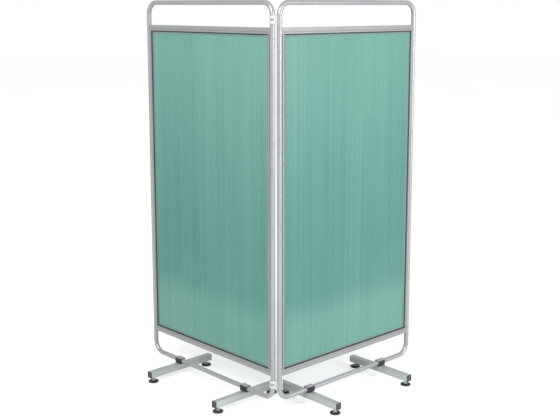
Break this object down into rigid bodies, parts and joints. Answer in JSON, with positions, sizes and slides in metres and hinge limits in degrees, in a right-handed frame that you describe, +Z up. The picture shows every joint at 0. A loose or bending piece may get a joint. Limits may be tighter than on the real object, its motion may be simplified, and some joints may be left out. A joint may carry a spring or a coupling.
{
  "type": "folding welding screen",
  "caption": "Folding welding screen: rigid tinted sheets in bent tube frames, joined by snap clips, standing on outriggers with levelling feet.",
  "frame": {"origin": "centre of the screen's bounding box at floor level, at rest with the wings square to each other", "axes": "+Z up; the right wing runs along +X and the left wing along +Y from the hinged apex, which points to -X -Y"},
  "size_m": [1.2401, 1.2401, 2.0634],
  "materials": {
    "silver_paint": "satin silver paint",
    "rail_aluminium": "satin grey",
    "stile_aluminium": "satin silver",
    "tinted_sheet": "translucent green, fine vertical ribs",
    "dark_rubber": "matt",
    "bar_paint": "satin grey paint",
    "cap_plastic": "matt dark grey",
    "foot_plastic": "matt black",
    "seat_plastic": "matt black",
    "saddle_steel": "zinc plated",
    "bolt_steel": "zinc plated",
    "nut_steel": "zinc plated",
    "clip_plastic": "white, satin",
    "screw_steel": "zinc plated"
  },
  "bodies": {
    "left_wing": {"loop_left": "silver_paint", "top_rail_left": "rail_aluminium", "bottom_rail_left": "rail_aluminium", "inner_stile_left": "stile_aluminium", "outer_stile_left": "stile_aluminium", "gasket_left": "dark_rubber", "sheet_left": "tinted_sheet", "screw_left_inner_upper": "screw_steel", "screw_left_inner_lower": "screw_steel", "screw_left_outer_upper": "screw_steel", "screw_left_outer_lower": "screw_steel", "outrigger_left_inner": "bar_paint", "seat_left_inner": "seat_plastic", "saddle_left_inner": "saddle_steel", "bolt_left_inner": "bolt_steel", "nut_left_inner": "nut_steel", "cap_left_inner_front": "cap_plastic", "cap_left_inner_rear": "cap_plastic", "outrigger_left_outer": "bar_paint", "seat_left_outer": "seat_plastic", "saddle_left_outer": "saddle_steel", "bolt_left_outer": "bolt_steel", "nut_left_outer": "nut_steel", "cap_left_outer_front": "cap_plastic", "cap_left_outer_rear": "cap_plastic"},
    "clips": {"clip_upper": "clip_plastic", "clip_lower": "clip_plastic"},
    "right_wing": {"loop_right": "silver_paint", "top_rail_right": "rail_aluminium", "bottom_rail_right": "rail_aluminium", "inner_stile_right": "stile_aluminium", "outer_stile_right": "stile_aluminium", "gasket_right": "dark_rubber", "sheet_right": "tinted_sheet", "screw_right_inner_upper": "screw_steel", "screw_right_inner_lower": "screw_steel", "screw_right_outer_upper": "screw_steel", "screw_right_outer_lower": "screw_steel", "outrigger_right_inner": "bar_paint", "seat_right_inner": "seat_plastic", "saddle_right_inner": "saddle_steel", "bolt_right_inner": "bolt_steel", "nut_right_inner": "nut_steel", "cap_right_inner_front": "cap_plastic", "cap_right_inner_rear": "cap_plastic", "outrigger_right_outer": "bar_paint", "seat_right_outer": "seat_plastic", "saddle_right_outer": "saddle_steel", "bolt_right_outer": "bolt_steel", "nut_right_outer": "nut_steel", "cap_right_outer_front": "cap_plastic", "cap_right_outer_rear": "cap_plastic"},
    "foot_left_inner_front": {"foot_left_inner_front": "foot_plastic"},
    "foot_left_inner_rear": {"foot_left_inner_rear": "foot_plastic"},
    "foot_left_outer_front": {"foot_left_outer_front": "foot_plastic"},
    "foot_left_outer_rear": {"foot_left_outer_rear": "foot_plastic"},
    "foot_right_inner_front": {"foot_right_inner_front": "foot_plastic"},
    "foot_right_inner_rear": {"foot_right_inner_rear": "foot_plastic"},
    "foot_right_outer_front": {"foot_right_outer_front": "foot_plastic"},
    "foot_right_outer_rear": {"foot_right_outer_rear": "foot_plastic"}
  },
  "joints": [
    {"name": "clip_turn", "type": "hinge", "parent": "left_wing", "child": "clips", "pos_m": [-0.40777, -0.38443, 1], "axis": [0, 0, -1], "range_deg": [0, 90]},
    {"name": "right_wing_turn", "type": "hinge", "parent": "clips", "child": "right_wing", "pos_m": [-0.38443, -0.40777, 1], "axis": [0, 0, -1], "range_deg": [0, 90]},
    {"name": "level_left_inner_front", "type": "slide", "parent": "left_wing", "child": "foot_left_inner_front", "axis": [0, 0, 1], "range_m": [0, 0.01]},
    {"name": "level_left_inner_rear", "type": "slide", "parent": "left_wing", "child": "foot_left_inner_rear", "axis": [0, 0, 1], "range_m": [0, 0.01]},
    {"name": "level_left_outer_front", "type": "slide", "parent": "left_wing", "child": "foot_left_outer_front", "axis": [0, 0, 1], "range_m": [0, 0.01]},
    {"name": "level_left_outer_rear", "type": "slide", "parent": "left_wing", "child": "foot_left_outer_rear", "axis": [0, 0, 1], "range_m": [0, 0.01]},
    {"name": "level_right_inner_front", "type": "slide", "parent": "right_wing", "child": "foot_right_inner_front", "axis": [0, 0, 1], "range_m": [0, 0.01]},
    {"name": "level_right_inner_rear", "type": "slide", "parent": "right_wing", "child": "foot_right_inner_rear", "axis": [0, 0, 1], "range_m": [0, 0.01]},
    {"name": "level_right_outer_front", "type": "slide", "parent": "right_wing", "child": "foot_right_outer_front", "axis": [0, 0, 1], "range_m": [0, 0.01]},
    {"name": "level_right_outer_rear", "type": "slide", "parent": "right_wing", "child": "foot_right_outer_rear", "axis": [0, 0, 1], "range_m": [0, 0.01]}
  ]
}
